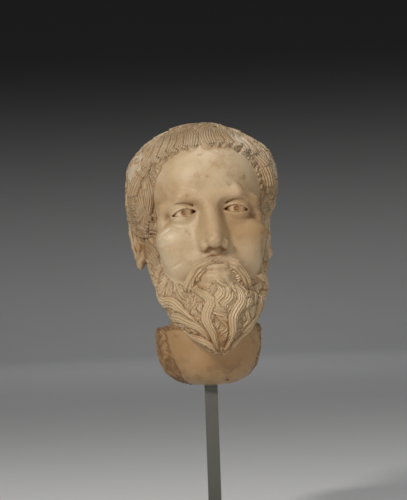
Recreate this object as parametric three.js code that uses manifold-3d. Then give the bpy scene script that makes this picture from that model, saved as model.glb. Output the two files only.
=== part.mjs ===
// A marble portrait head of a bearded man, broken off at the neck, on a steel museum stand.
// Units are millimetres and +Z is up. The origin is under the post, on the surface that the stand
// rests on. The stand faces -Y, and +X is on its viewer's right.
//
// The stone is one block. A square socket is bedded in resin in a hole drilled up into its neck,
// and drops over a square pin that stands out of the post, so the head lifts straight off.

import * as THREE from "three";
import { mergeVertices } from "three/addons/utils/BufferGeometryUtils.js";
import Module from "manifold-3d";

const wasm = await Module();
wasm.setup();

// ---- driving dimensions ----

const GAP = 0.3; // between pieces that touch

const FELT_THICKNESS = 2;
const FELT_SIDE = 172;
const BASE_SIDE = 180;
const BASE_THICKNESS = 14;
const BASE_CORNER = 5;
const BASE_BEVEL = 1;
const POCKET_DEPTH = 3; // the post stands in a square pocket in the base

const POST_SIDE = 16;
const POST_BORE = 10;
const POST_SHOWN = 158; // above the base
const PLUG_LENGTH = 32;

const SCREW_RADIUS = 3;
const SCREW_HEAD_RADIUS = 6;
const SCREW_HEAD_HEIGHT = 3.3;
const SCREW_LENGTH = 30;
const SCREW_DRIVE_RADIUS = 2.3; // to the corners of its hexagon
const SCREW_DRIVE_DEPTH = 2.5;
const SET_SCREW_RADIUS = 2.5;
const SET_SCREW_BELOW_TOP = 15;
const SET_SCREW_DRIVE_RADIUS = 1.4;
const SET_SCREW_DRIVE_DEPTH = 1.6;

const PAD_THICKNESS = 1.5;
const PIN_IN_POST = 55;
const PIN_IN_NECK = 72;
const PIN_LEAD = 1.5; // the chamfer at the pin's end
const SOCKET_SIDE = 13;
const SOCKET_LENGTH = 77;
const SOCKET_CAP = 3;
const DRILL_RADIUS = 11;
const DRILL_DEPTH = 82;

const STONE_HEIGHT = 322;
const EYE_LINE_BELOW_TOP = 122; // the head's own origin is on its eye line
const HEAD_FORWARD = 12; // how far the head's centre is in front of the post
const HEAD_TURN = THREE.MathUtils.degToRad(4); // towards the viewer's right
const HEAD_BACK = THREE.MathUtils.degToRad(8); // the chin is raised
const HEAD_LEAN = THREE.MathUtils.degToRad(3); // the crown goes to the viewer's left
const RIM_HEIGHT = 71; // of the bowl that the neck ends in, above its lowest point

const BASE_BOTTOM = FELT_THICKNESS + GAP;
const BASE_TOP = BASE_BOTTOM + BASE_THICKNESS;
const POST_BOTTOM = BASE_TOP - POCKET_DEPTH + GAP;
const POST_TOP = BASE_TOP + POST_SHOWN;
const PAD_BOTTOM = POST_TOP + GAP;
const NECK_BOTTOM = PAD_BOTTOM + PAD_THICKNESS + GAP;
const STONE_TOP = NECK_BOTTOM + STONE_HEIGHT;

// ---- materials ----

const stone = new THREE.MeshStandardMaterial({ color: 0xcdb896, roughness: 0.55, metalness: 0 });
const paintedSteel = new THREE.MeshStandardMaterial({ color: 0x5d5d54, roughness: 0.5, metalness: 0.3 });
const stainless = new THREE.MeshStandardMaterial({ color: 0xb4b6b8, roughness: 0.3, metalness: 1 });
const felt = new THREE.MeshStandardMaterial({ color: 0x3b3d3a, roughness: 1, metalness: 0 });
const cushion = new THREE.MeshStandardMaterial({ color: 0x6a6a63, roughness: 0.9, metalness: 0 });
const resin = new THREE.MeshStandardMaterial({ color: 0xd9d0ba, roughness: 0.6, metalness: 0 });

// ---- joining and cutting ----

/** A closed geometry as a manifold-3d solid. */
function solid(geometry) {
  const bare = geometry.clone();
  bare.deleteAttribute("normal");
  bare.deleteAttribute("uv");
  const merged = mergeVertices(bare, 1e-4);
  const { array } = merged.attributes.position;
  return new wasm.Manifold(
    new wasm.Mesh({ numProp: 3, vertProperties: array, triVerts: new Uint32Array(merged.index.array) }),
  );
}

/** A manifold-3d solid as a flat-shaded geometry. */
function geometryOf(made) {
  const { vertProperties, triVerts } = made.getMesh();
  const indexed = new THREE.BufferGeometry()
    .setAttribute("position", new THREE.BufferAttribute(vertProperties, 3))
    .setIndex(new THREE.BufferAttribute(triVerts, 1));
  const flat = indexed.toNonIndexed();
  flat.computeVertexNormals();
  return flat;
}

// ---- plain shapes ----

/** A square outline centred on the origin, with an optional square hole. */
function squareOutline(side, holeSide = 0) {
  const outline = new THREE.Shape();
  const corners = [[-1, -1], [1, -1], [1, 1], [-1, 1]];
  outline.setFromPoints(corners.map(([x, y]) => new THREE.Vector2((x * side) / 2, (y * side) / 2)));
  if (holeSide) {
    const hole = new THREE.Path();
    hole.setFromPoints(corners.map(([x, y]) => new THREE.Vector2((x * holeSide) / 2, (-y * holeSide) / 2)));
    outline.holes.push(hole);
  }
  return outline;
}

/** An outline raised from bottom by height. */
function prism(outline, bottom, height) {
  return new THREE.ExtrudeGeometry(outline, { depth: height, bevelEnabled: false }).translate(0, 0, bottom);
}

/** A round bar or a cone standing on bottom. */
function bar(bottomRadius, topRadius, bottom, height, sides = 32) {
  return new THREE.CylinderGeometry(topRadius, bottomRadius, height, sides)
    .rotateX(Math.PI / 2)
    .translate(0, 0, bottom + height / 2);
}

// ---- the stand ----

/** A sheet of felt glued under the base. */
function baseFelt() {
  return prism(squareOutline(FELT_SIDE), 0, FELT_THICKNESS);
}

/** The steel base: a pocket on top for the post, and a countersunk hole under it. */
function basePlate() {
  const half = BASE_SIDE / 2 - BASE_BEVEL;
  const inner = half - BASE_CORNER;
  const outline = new THREE.Shape()
    .absarc(inner, inner, BASE_CORNER, 0, Math.PI / 2)
    .absarc(-inner, inner, BASE_CORNER, Math.PI / 2, Math.PI)
    .absarc(-inner, -inner, BASE_CORNER, Math.PI, 1.5 * Math.PI)
    .absarc(inner, -inner, BASE_CORNER, 1.5 * Math.PI, 2 * Math.PI);
  const plate = new THREE.ExtrudeGeometry(outline, {
    depth: BASE_THICKNESS - 2 * BASE_BEVEL,
    bevelThickness: BASE_BEVEL,
    bevelSize: BASE_BEVEL,
    bevelSegments: 1,
    curveSegments: 6,
  }).translate(0, 0, BASE_BOTTOM + BASE_BEVEL);
  const pocket = prism(squareOutline(POST_SIDE + 2 * GAP), BASE_TOP - POCKET_DEPTH, POCKET_DEPTH + 1);
  const hole = bar(SCREW_RADIUS + GAP, SCREW_RADIUS + GAP, BASE_BOTTOM - 1, BASE_THICKNESS);
  const sinkHeight = SCREW_HEAD_HEIGHT + 3 * GAP;
  const sink = bar(SCREW_HEAD_RADIUS + 2 * GAP, SCREW_RADIUS + GAP, BASE_BOTTOM - GAP, sinkHeight);
  return geometryOf(solid(plate).subtract(solid(pocket)).subtract(solid(hole)).subtract(solid(sink)));
}

/** The countersunk screw that pulls the post down, with a hexagonal drive in its head. */
function postScrew() {
  const head = bar(SCREW_HEAD_RADIUS, SCREW_RADIUS, BASE_BOTTOM + GAP, SCREW_HEAD_HEIGHT);
  const shank = bar(SCREW_RADIUS, SCREW_RADIUS, BASE_BOTTOM + GAP + SCREW_HEAD_HEIGHT - 1, SCREW_LENGTH);
  const drive = bar(SCREW_DRIVE_RADIUS, SCREW_DRIVE_RADIUS, BASE_BOTTOM - 1, SCREW_DRIVE_DEPTH + 1, 6);
  return geometryOf(solid(head).add(solid(shank)).subtract(solid(drive)));
}

/** The square tube that shows between the base and the neck, tapped at the back for its set screw. */
function postTube() {
  const tube = prism(squareOutline(POST_SIDE, POST_BORE), POST_BOTTOM, POST_TOP - POST_BOTTOM);
  const tapping = bar(SET_SCREW_RADIUS + GAP, SET_SCREW_RADIUS + GAP, 0, POST_SIDE, 16)
    .rotateX(-Math.PI / 2)
    .translate(0, 0, POST_TOP - SET_SCREW_BELOW_TOP);
  return geometryOf(solid(tube).subtract(solid(tapping)));
}

/** The threaded plug in the tube's foot. */
function postPlug() {
  const plug = prism(squareOutline(POST_BORE - 2 * GAP), POST_BOTTOM + GAP, PLUG_LENGTH);
  const thread = bar(SCREW_RADIUS + GAP, SCREW_RADIUS + GAP, POST_BOTTOM - 1, PLUG_LENGTH - 4);
  return geometryOf(solid(plug).subtract(solid(thread)));
}

/** The square pin: its lower part is clamped in the tube, and its upper part goes up into the neck. */
function mountPin() {
  const side = POST_BORE - 2 * GAP;
  const length = PIN_IN_POST + PIN_IN_NECK;
  const corner = (side / 2) * Math.SQRT2;
  const straight = prism(squareOutline(side), POST_TOP - PIN_IN_POST, length - PIN_LEAD);
  const tip = bar(corner, corner - PIN_LEAD * Math.SQRT2, POST_TOP + PIN_IN_NECK - PIN_LEAD, PIN_LEAD, 4)
    .rotateZ(Math.PI / 4);
  return geometryOf(solid(straight).add(solid(tip)));
}

/** The set screw in the back of the post, which clamps the pin. */
function pinSetScrew() {
  const length = (POST_SIDE - POST_BORE) / 2 - GAP;
  const screw = bar(SET_SCREW_RADIUS, SET_SCREW_RADIUS, POST_BORE / 2, length, 16);
  const bottom = POST_BORE / 2 + length - SET_SCREW_DRIVE_DEPTH;
  const drive = bar(SET_SCREW_DRIVE_RADIUS, SET_SCREW_DRIVE_RADIUS, bottom, SET_SCREW_DRIVE_DEPTH + 1, 6);
  return geometryOf(solid(screw).subtract(solid(drive)))
    .rotateX(-Math.PI / 2)
    .translate(0, 0, POST_TOP - SET_SCREW_BELOW_TOP);
}

/** The thin cushion between the post's end and the stone. */
function neckPad() {
  return prism(squareOutline(POST_SIDE, POST_BORE), PAD_BOTTOM, PAD_THICKNESS);
}

// ---- what is set in the neck ----

/** The stainless socket: a square tube closed at the top. */
function pinSocket() {
  const tube = prism(squareOutline(SOCKET_SIDE), NECK_BOTTOM, SOCKET_LENGTH);
  const bore = prism(squareOutline(POST_BORE), NECK_BOTTOM - 1, SOCKET_LENGTH - SOCKET_CAP + 1);
  return geometryOf(solid(tube).subtract(solid(bore)));
}

/** The resin that beds the socket in the drilled hole. */
function beddingResin() {
  const fill = bar(DRILL_RADIUS - GAP, DRILL_RADIUS - GAP, NECK_BOTTOM, DRILL_DEPTH - GAP, 40);
  const room = prism(squareOutline(SOCKET_SIDE + 2 * GAP), NECK_BOTTOM - 1, SOCKET_LENGTH + 1 + GAP);
  return geometryOf(solid(fill).subtract(solid(room)));
}

// ---- the head's form ----
//
// The head is modelled in its own frame: +X to the viewer's right, -Y to the face, and the origin on
// the eye line between the ears. Its surface is where a distance, built up from rounded masses that
// melt into each other, is zero. A mass with mirrored true stands on both sides.

const ball = (x, y, z, rx, ry, rz, melt, mirrored = false) =>
  ({ centre: new THREE.Vector3(x, y, z), radii: new THREE.Vector3(rx, ry, rz), melt, mirrored });

const rod = (from, fromRadius, to, toRadius, melt, mirrored = false) =>
  ({ from: new THREE.Vector3(...from), fromRadius, to: new THREE.Vector3(...to), toRadius, melt, mirrored });

/** Rods end to end through points, with a radius at each. */
const chain = (points, radii, melt, mirrored = false) =>
  points.slice(1).map((to, i) => rod(points[i], radii[i], to, radii[i + 1], melt, mirrored));

const SKULL = [
  ball(0, 6, 34, 75, 96, 82, 1),
  ball(0, -34, 40, 62, 60, 52, 20),
  ball(0, -30, -35, 58, 60, 78, 20),
  ball(48, -60, -27, 18, 18, 12, 16, true), // cheekbones, 134 over both
  ball(36, -61, -46, 24, 23, 34, 18, true),
  ...chain([[53, -66, 9], [56, -58, -7], [52, -58, -22]], [5, 5.5, 7], 8, true), // beside the eyes
  ...chain([[42, 4, -62], [38, -44, -90], [0, -78, -102]], [13, 14, 16], 12, true), // jaw, 110 at its corners
  ball(0, -84, -103, 17, 17, 15, 14),
  ball(0, -71, -66, 29, 30, 24, 14),
  ...chain([[8, -89, 13], [32, -86, 16], [53, -70, 9]], [6, 6, 5], 12, true), // brows
];

const EYE_HOLLOWS = [ball(31, -99, 0, 19, 15, 11.5, 9, true)];

// These stand out too steeply to be pushed out of a ball, so each is a solid of its own, joined on.
const FEATURES = [
  ball(31.5, -75.5, -1, 14.4, 14.4, 13.5, 0, true), // eyes
  rod([0, -88, 13], 7, [0, -104, -34], 7, 0), // nose
  ball(0, -92, -30, 14, 17, 19, 0),
  ball(0, -108, -40, 9.5, 10, 9, 0),
  ball(11.5, -97, -44, 7, 10, 7, 0, true),
  ball(0, -92, -81, 22, 14, 5.5, 0), // lower lip
  rod([3, -99, -63], 7.5, [24, -93, -72], 7.5, 0, true), // moustache
  rod([24, -93, -72], 7.5, [35, -83, -92], 7.5, 0, true),
  ball(-85, 17, -13, 8, 18, 31, 0), // ears
  ball(75, 17, -13, 7, 18, 31, 0),
];

const LEFT_SIDE = [
  [-66, -8, -12], [-60, -14, -36], [-53, -26, -62], [-44, -40, -88], [-32, -54, -110], [-19, -66, -124],
];
const RIGHT_SIDE = [
  [60, -8, -12], [52, -14, -36], [45, -26, -62], [38, -40, -88], [28, -54, -110], [14, -66, -124],
];
const SIDE_RADII = [11, 17, 21, 24, 25, 25];

const BEARD = [
  ...chain(LEFT_SIDE, SIDE_RADII, 10),
  ...chain(RIGHT_SIDE, SIDE_RADII, 10),
  ball(0, -74, -116, 42, 36, 40, 16),
  ball(-4, -78, -142, 24, 22, 30, 14),
];

const HAIR = [
  ball(-2, 8, 38, 83, 103, 85.3, 1),
  ball(-74, 2, 30, 21, 50, 48, 20),
  ball(70, 0, 46, 22, 48, 42, 20),
  ball(-44, 0, 68, 34, 52, 30, 24),
  ball(36, 0, 70, 32, 52, 28, 24),
  ball(0, 62, -14, 64, 44, 56, 20),
];

const FACE_WINDOW = ball(0, -112, -8, 94, 94, 94, 10);
const HAIRLINE_MELT = 8;
const HEAD_REACH = 230; // past any point of the head

/** How far p is from an ellipsoid, about. */
function ballDistance(p, { centre, radii }) {
  const scaled = p.clone().sub(centre).divide(radii);
  const steep = scaled.clone().divide(radii).length();
  const reach = scaled.length();
  return steep > 0 ? (reach * (reach - 1)) / steep : -radii.x;
}

/** How far p is from a rod whose radius changes along it. */
function rodDistance(p, { from, fromRadius, to, toRadius }) {
  const along = to.clone().sub(from);
  const share = THREE.MathUtils.clamp(p.clone().sub(from).dot(along) / along.lengthSq(), 0, 1);
  const radius = THREE.MathUtils.lerp(fromRadius, toRadius, share);
  return p.distanceTo(from.clone().addScaledVector(along, share)) - radius;
}

function distanceTo(p, mass) {
  const measure = mass.centre ? ballDistance : rodDistance;
  if (!mass.mirrored) return measure(p, mass);
  const other = p.clone().multiply(new THREE.Vector3(-1, 1, 1));
  return Math.min(measure(p, mass), measure(other, mass));
}

/** The union of two distances, rounded where they meet. */
function melt(a, b, width) {
  const near = Math.max(width - Math.abs(a - b), 0) / width;
  return Math.min(a, b) - (near * near * width) / 4;
}

const add = (start, masses, p) => masses.reduce((d, m) => melt(d, distanceTo(p, m), m.melt), start);

/** How far a point in the head's frame is outside the head, about. */
function headDistance(p) {
  let d = add(Infinity, SKULL, p);
  d = -add(-d, EYE_HOLLOWS, p);
  const hair = -melt(-add(Infinity, HAIR, p), distanceTo(p, FACE_WINDOW), FACE_WINDOW.melt);
  return add(melt(d, hair, HAIRLINE_MELT), BEARD, p);
}

/** Where distance is zero on a ray: it is walked from far out, in, until it meets the surface. */
function surfaceAlong(distance, middle, direction, farOut) {
  const stride = 2;
  const at = (reach) => middle.clone().addScaledVector(direction, reach);
  let inside = farOut;
  while (inside > 0 && distance(at(inside)) > 0) inside -= stride;
  let outside = inside + stride;
  for (let halvings = 0; halvings < 8; halvings += 1) {
    const half = (inside + outside) / 2;
    if (distance(at(half)) > 0) outside = half;
    else inside = half;
  }
  return at(inside);
}

/** The head as a ball whose points are pushed out to that surface. They are closest together on the face. */
function headBlock() {
  const detail = 16;
  const block = mergeVertices(
    new THREE.IcosahedronGeometry(1, detail).deleteAttribute("normal").deleteAttribute("uv"),
    1e-4,
  );
  const middle = new THREE.Vector3(0, -40, -25);
  const { position } = block.attributes;
  for (let i = 0; i < position.count; i += 1) {
    const direction = new THREE.Vector3().fromBufferAttribute(position, i).normalize();
    position.setXYZ(i, ...surfaceAlong(headDistance, middle, direction, HEAD_REACH));
  }
  return block;
}

/** A mass as a solid, or as one on each side. */
function massSolids(mass) {
  const sides = mass.mirrored ? [1, -1] : [1];
  return sides.map((side) => {
    const across = new THREE.Vector3(side, 1, 1);
    if (mass.centre) {
      const { x, y, z } = mass.centre.clone().multiply(across);
      return solid(new THREE.SphereGeometry(1, 16, 10).scale(...mass.radii).translate(x, y, z));
    }
    const from = mass.from.clone().multiply(across);
    const to = mass.to.clone().multiply(across);
    const along = to.clone().sub(from);
    const length = along.length();
    const turn = new THREE.Quaternion().setFromUnitVectors(new THREE.Vector3(0, 1, 0), along.normalize());
    const middle = from.add(to).divideScalar(2);
    const capsule = new THREE.CapsuleGeometry(mass.toRadius, length, 4, 12).applyQuaternion(turn);
    return solid(capsule.translate(middle.x, middle.y, middle.z));
  });
}

/** Where the head's own frame stands in the part's. */
function headFrame() {
  return new THREE.Matrix4()
    .makeRotationFromEuler(new THREE.Euler(-HEAD_BACK, -HEAD_LEAN, HEAD_TURN, "ZYX"))
    .setPosition(
      HEAD_FORWARD * Math.sin(HEAD_TURN),
      -HEAD_FORWARD * Math.cos(HEAD_TURN),
      STONE_TOP - EYE_LINE_BELOW_TOP,
    );
}

const COLUMN = rod([6, 0, 54], 53, [4, -12, 178], 49);
const BOWL_CENTRE = new THREE.Vector3(-1, 10, 66);
const BOWL_RADII = new THREE.Vector3(65, 68, 67);
const BOWL_POWER = 3; // over 2, so it is squarer than an ellipsoid
const RIM_MELT = 6;
const NECK_REACH = 100; // past any point of the neck

/** How far a point is outside the bowl that the neck ends in, about. */
function bowlDistance(p) {
  const { x, y, z } = p.clone().sub(BOWL_CENTRE).divide(BOWL_RADII);
  const reach = (Math.hypot(x, y) ** BOWL_POWER + Math.abs(z) ** BOWL_POWER) ** (1 / BOWL_POWER);
  return BOWL_RADII.x * (reach - 1);
}

/** How far a point is outside the neck, measured from the neck's lowest point. */
function neckDistance(p) {
  return melt(rodDistance(p, COLUMN), Math.max(bowlDistance(p), p.z - RIM_HEIGHT), RIM_MELT);
}

/** The neck as a drum whose points are pushed in or out, level, to its surface. */
function neckBlock() {
  const height = 168; // up into the head
  const rows = 28;
  const bowlRows = 12;
  const step = 0.5; // from the row at the rim to the next one, on the column
  const drum = mergeVertices(
    new THREE.CylinderGeometry(1, 1, rows, 40, rows)
      .rotateX(Math.PI / 2)
      .translate(0, 0, rows / 2)
      .deleteAttribute("normal")
      .deleteAttribute("uv"),
    1e-4,
  );
  const { position } = drum.attributes;
  for (let i = 0; i < position.count; i += 1) {
    const row = Math.round(position.getZ(i));
    const columnShare = (row - bowlRows - 1) / (rows - bowlRows - 1);
    const z = row <= bowlRows
      ? (RIM_HEIGHT * row) / bowlRows
      : THREE.MathUtils.lerp(RIM_HEIGHT + step, height, columnShare);
    position.setZ(i, z);
    const direction = new THREE.Vector3(position.getX(i), position.getY(i), 0);
    if (direction.lengthSq() < 0.5) continue; // the middle of an end
    const middle = new THREE.Vector3(0, 0, Math.max(z, 1));
    const { x, y } = surfaceAlong(neckDistance, middle, direction.normalize(), NECK_REACH);
    position.setXY(i, x, y);
  }
  return drum.translate(0, 0, NECK_BOTTOM);
}

/** The carved stone: head and neck in one block, drilled from below for the socket. */
function marbleHead() {
  const drill = bar(DRILL_RADIUS, DRILL_RADIUS, NECK_BOTTOM - 1, DRILL_DEPTH + 1, 40);
  const features = FEATURES.flatMap(massSolids);
  const head = features.reduce((made, feature) => made.add(feature), solid(headBlock()));
  const placed = head.transform(headFrame().elements);
  return geometryOf(placed.add(solid(neckBlock())).subtract(solid(drill)));
}

// ---- the assembly ----

const bust = new THREE.Group();

function put(name, geometry, material) {
  const mesh = new THREE.Mesh(geometry, material);
  mesh.name = name;
  bust.add(mesh);
}

put("base_felt", baseFelt(), felt);
put("base_plate", basePlate(), paintedSteel);
put("post_screw", postScrew(), stainless);
put("post_tube", postTube(), paintedSteel);
put("post_plug", postPlug(), stainless);
put("mount_pin", mountPin(), stainless);
put("pin_set_screw", pinSetScrew(), stainless);
put("neck_pad", neckPad(), cushion);
put("pin_socket", pinSocket(), stainless);
put("bedding_resin", beddingResin(), resin);
put("marble_head", marbleHead(), stone);

export default bust;
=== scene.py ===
"""A marble portrait head of a bearded man on a steel museum stand.

The stone is carved here as a signed distance on a grid, in millimetres, in the head's own frame: +X to
the viewer's right, -Y to the face, and the origin on the eye line between the ears. Locks of hair are
then laid on its surface one over another, and wear and chips come last. The stand is the CAD's own.
"""

import math
from typing import NamedTuple

import bpy
import numpy as np
from mathutils import Matrix, Vector, kdtree


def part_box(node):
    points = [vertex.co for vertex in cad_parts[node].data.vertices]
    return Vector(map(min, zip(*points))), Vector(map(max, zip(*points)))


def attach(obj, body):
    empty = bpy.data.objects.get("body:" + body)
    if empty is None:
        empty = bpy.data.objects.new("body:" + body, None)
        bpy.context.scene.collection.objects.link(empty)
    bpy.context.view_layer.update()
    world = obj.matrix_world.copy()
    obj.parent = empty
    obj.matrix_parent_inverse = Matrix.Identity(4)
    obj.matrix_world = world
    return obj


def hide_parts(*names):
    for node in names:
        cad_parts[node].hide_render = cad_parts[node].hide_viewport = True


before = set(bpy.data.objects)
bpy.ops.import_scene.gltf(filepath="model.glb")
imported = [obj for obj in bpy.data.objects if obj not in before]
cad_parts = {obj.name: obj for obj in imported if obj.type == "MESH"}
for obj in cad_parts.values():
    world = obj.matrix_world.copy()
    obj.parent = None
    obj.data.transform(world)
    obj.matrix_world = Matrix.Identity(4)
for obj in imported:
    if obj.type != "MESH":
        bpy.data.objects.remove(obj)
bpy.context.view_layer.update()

# ---- the head's place, as in the CAD ----

TURN = math.radians(4)
BACK = math.radians(8)
LEAN = math.radians(3)
EYE_LINE = 200.0  # above the stone's lowest point
FORWARD = 12.0  # how far the head's origin is in front of the post
STONE_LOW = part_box("marble_head")[0]
MM_PER_M = 1000.0

# ---- the clay ----

GRID_LOW = (-110, -136, -222)
GRID_HIGH = (110, 124, 136)
STEP = 1.2
ROUGH_STEP = 2.5  # for the hair and the beard on their own, which only say where locks go
NOTHING_NEAR = 60.0  # the distance before any shape is added
MOST_TRIANGLES = 198_000


def head_to_stone():
    """The turn of the head's frame, and its origin measured from the stone's lowest point."""
    turn = Matrix.Rotation(TURN, 3, "Z") @ Matrix.Rotation(-LEAN, 3, "Y") @ Matrix.Rotation(-BACK, 3, "X")
    origin = (FORWARD * math.sin(TURN), -FORWARD * math.cos(TURN), EYE_LINE)
    return np.array(turn), np.array(origin)


def blend(a, b, width):
    """The union of two distances, rounded where they meet."""
    near = np.maximum(width - np.abs(a - b), 0) / width
    return np.minimum(a, b) - near * near * (width / 4)


class Clay:
    """A signed distance on a grid: negative inside."""

    def __init__(self, step):
        self.low = np.array(GRID_LOW, float)
        self.step = step
        self.axes = [np.arange(a, b, step, dtype=np.float32) for a, b in zip(GRID_LOW, GRID_HIGH)]
        self.field = np.full([len(a) for a in self.axes], NOTHING_NEAR, np.float32)

    def work(self, shape, melt, cut=False):
        """Adds a shape, or cuts it out, within the box that it can change."""
        distance, low, high = shape
        margin = melt + 3 * self.step
        first = np.floor((np.array(low) - margin - self.low) / self.step).astype(int)
        last = np.ceil((np.array(high) + margin - self.low) / self.step).astype(int) + 1
        box = tuple(slice(max(a, 0), max(b, 0)) for a, b in zip(first, last))
        x, y, z = (axis[part] for axis, part in zip(self.axes, box))
        here = self.field[box]
        if here.size == 0:
            return
        d = distance(x[:, None, None], y[None, :, None], z[None, None, :])
        self.field[box] = -blend(-here, d, melt) if cut else blend(here, d, melt)

    def sample(self, points):
        """The distance at any points, in proportion between the grid's own."""
        g = np.clip((points - self.low) / self.step, 0, np.array(self.field.shape) - 1.001)
        i = g.astype(int)
        f = g - i
        out = 0
        for corner in np.ndindex(2, 2, 2):
            share = np.prod(np.where(corner, f, 1 - f), axis=-1)
            out = out + share * self.field[tuple((i + corner)[..., k] for k in range(3))]
        return out

    def normals(self, points, reach=2.0):
        """Which way is out, felt over reach."""
        steps = np.eye(3) * reach
        slope = [self.sample(points + s) - self.sample(points - s) for s in steps]
        return unit(np.stack(slope, -1))

    def settle(self, points):
        """Points moved onto the surface."""
        for _ in range(4):
            points = points - self.normals(points) * self.sample(points)[..., None]
        return points


def unit(v):
    """Each vector at a length of 1."""
    return v / np.maximum(np.linalg.norm(v, axis=-1, keepdims=True), 1e-6)


def ball(centre, radii):
    """An ellipsoid: about its distance, and its box."""
    c, r = np.array(centre, float), np.array(radii, float)

    def distance(x, y, z):
        a, b, d = (x - c[0]) / r[0], (y - c[1]) / r[1], (z - c[2]) / r[2]
        reach = np.sqrt(a * a + b * b + d * d)
        steep = np.sqrt((a / r[0]) ** 2 + (b / r[1]) ** 2 + (d / r[2]) ** 2)
        return (reach * (reach - 1) / np.maximum(steep, 1e-6)).astype(np.float32)

    return distance, c - r, c + r


def rod(start, start_radius, end, end_radius):
    """A rod whose radius changes along it: its distance and its box."""
    a, b = np.array(start, float), np.array(end, float)
    along = b - a

    def distance(x, y, z):
        px, py, pz = x - a[0], y - a[1], z - a[2]
        t = np.clip((px * along[0] + py * along[1] + pz * along[2]) / (along @ along), 0, 1)
        dx, dy, dz = px - t * along[0], py - t * along[1], pz - t * along[2]
        radius = start_radius + (end_radius - start_radius) * t
        return (np.sqrt(dx * dx + dy * dy + dz * dz) - radius).astype(np.float32)

    most = max(start_radius, end_radius)
    return distance, np.minimum(a, b) - most, np.maximum(a, b) + most


def add_ball(clay, melt, centre, radii, both=False, cut=False):
    """Melts an ellipsoid in, on both sides of the head if asked, or cuts it out."""
    for side in (1, -1) if both else (1,):
        clay.work(ball((side * centre[0], *centre[1:]), radii), melt, cut)


def add_chain(clay, melt, points, radii, both=False, cut=False):
    """The same for rods from point to point."""
    for side in (1, -1) if both else (1,):
        run = [(side * x, y, z) for x, y, z in points]
        for a, ra, b, rb in zip(run, radii, run[1:], radii[1:]):
            clay.work(rod(a, ra, b, rb), melt, cut)


# ---- the head's masses ----
#
# Each mass has how far it melts into the others, then its middle and radii, or its points and radii.

EYEBALL = 12.2  # a radius, as IRIS is
LID_RADII = (16.5, 14.9, 14.9)
SLIT_HALF_WIDTH = 15
UPPER_LID_LIFT = 5.0
LOWER_LID_DROP = 4.4
CREASE_REACH = 17.4
CREASE_RADIUS = 1.0
IRIS = 5.8
IRIS_LINE = 0.75
GAZE_LIFT = 0.6
PUPIL_RADII = (2.9, 3.4, 2.9)
BOWL_MIDDLE = (-1, 10, 66)  # from the stone's lowest point, upright, as are the rim and the drill's depth
BOWL_RADII = (65, 68, 67)
BOWL_POWER = 3.0
RIM_HEIGHT = 70
DRILL_RADIUS = 11.3
DRILL_DEPTH = 82.5


def model_skull(clay):
    add_ball(clay, 1, (0, 6, 34), (75, 96, 82))
    add_ball(clay, 20, (0, -34, 40), (62, 60, 52))
    add_ball(clay, 20, (0, -30, -35), (58, 60, 78))
    add_ball(clay, 16, (48, -60, -27), (18, 18, 12), both=True)  # cheekbones, 134 over both
    add_ball(clay, 18, (36, -61, -46), (24, 23, 34), both=True)
    add_chain(clay, 8, [(53, -66, 9), (56, -58, -7), (52, -58, -22)], [5, 5.5, 7], both=True)
    jaw = [(42, 4, -62), (38, -44, -90), (0, -78, -102)]  # 110 at its corners
    add_chain(clay, 12, jaw, [13, 14, 16], both=True)
    add_ball(clay, 14, (0, -84, -103), (17, 17, 15))
    add_ball(clay, 14, (0, -71, -66), (29, 30, 24))
    brow = [(8, -89, 13), (32, -86, 16), (53, -70, 9)]
    add_chain(clay, 10, brow, [6.5, 7, 5.5], both=True)


def model_eyes(clay):
    add_ball(clay, 9, (31, -99, 0), (19, 15, 11.5), both=True, cut=True)
    add_ball(clay, 6, (17, -96, 1), (7, 9, 8), both=True, cut=True)
    for side in (-1, 1):
        model_eye(clay, side)


def eye_centre(side):
    return np.array([side * 31.5, -75.0, -1.0])


def pupil_place(side):
    """The drilled pupil's middle, a little above the eyeball's."""
    return eye_centre(side) + (0, -EYEBALL, 1.0)


def lid_slit(side):
    """The opening between the lids, down to just under the eyeball's surface."""
    centre = eye_centre(side)

    def distance(x, y, z):
        u, v, w = (x - centre[0]) * side, y - centre[1], z - centre[2]
        wide = np.clip(1 - (u / SLIT_HALF_WIDTH) ** 2, -1, 1)
        above_upper = w - (UPPER_LID_LIFT * wide - 0.12 * u)
        below_lower = (-LOWER_LID_DROP * wide - 0.10 * u) - w
        too_deep = EYEBALL - 0.4 - np.sqrt(u * u + v * v + w * w)
        return np.maximum(np.maximum(above_upper, below_lower), too_deep).astype(np.float32)

    return distance, centre - 20, centre + (20, 0, 20)


def lid_crease(side):
    """Points along the fold over the upper lid."""
    points = []
    for a in np.radians(np.linspace(25, 155, 13)):
        u, w = 15.5 * np.cos(a), 3.4 + 8.4 * np.sin(a)
        depth = 0.95 * math.sqrt(max(CREASE_REACH**2 - u * u - (0.9 * w) ** 2, 1))
        points.append(eye_centre(side) + (side * u, -depth, w))
    return points


def iris_ring(side):
    """Points round the iris, on the eyeball."""
    gaze = eye_centre(side) + (0, 0, GAZE_LIFT)
    points = []
    for a in np.radians(np.arange(0, 361, 15)):
        u, w = IRIS * math.cos(a), IRIS * math.sin(a)
        points.append(gaze + (u, -math.sqrt(EYEBALL**2 - u * u - (w + GAZE_LIFT) ** 2), w))
    return points


def model_eye(clay, side):
    """An eyeball between two lids, with a carved iris and a drilled pupil."""
    centre = eye_centre(side)
    clay.work(ball(centre + (0, 0, 0.5), LID_RADII), 3)
    clay.work(lid_slit(side), 0.8, cut=True)
    clay.work(ball(centre, [EYEBALL] * 3), 0.4)
    crease, ring = lid_crease(side), iris_ring(side)
    add_chain(clay, 1.5, crease, [CREASE_RADIUS] * len(crease), cut=True)
    clay.work(ball(pupil_place(side), PUPIL_RADII), 0.8, cut=True)
    add_chain(clay, 0.5, ring, [IRIS_LINE] * len(ring), cut=True)


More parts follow.
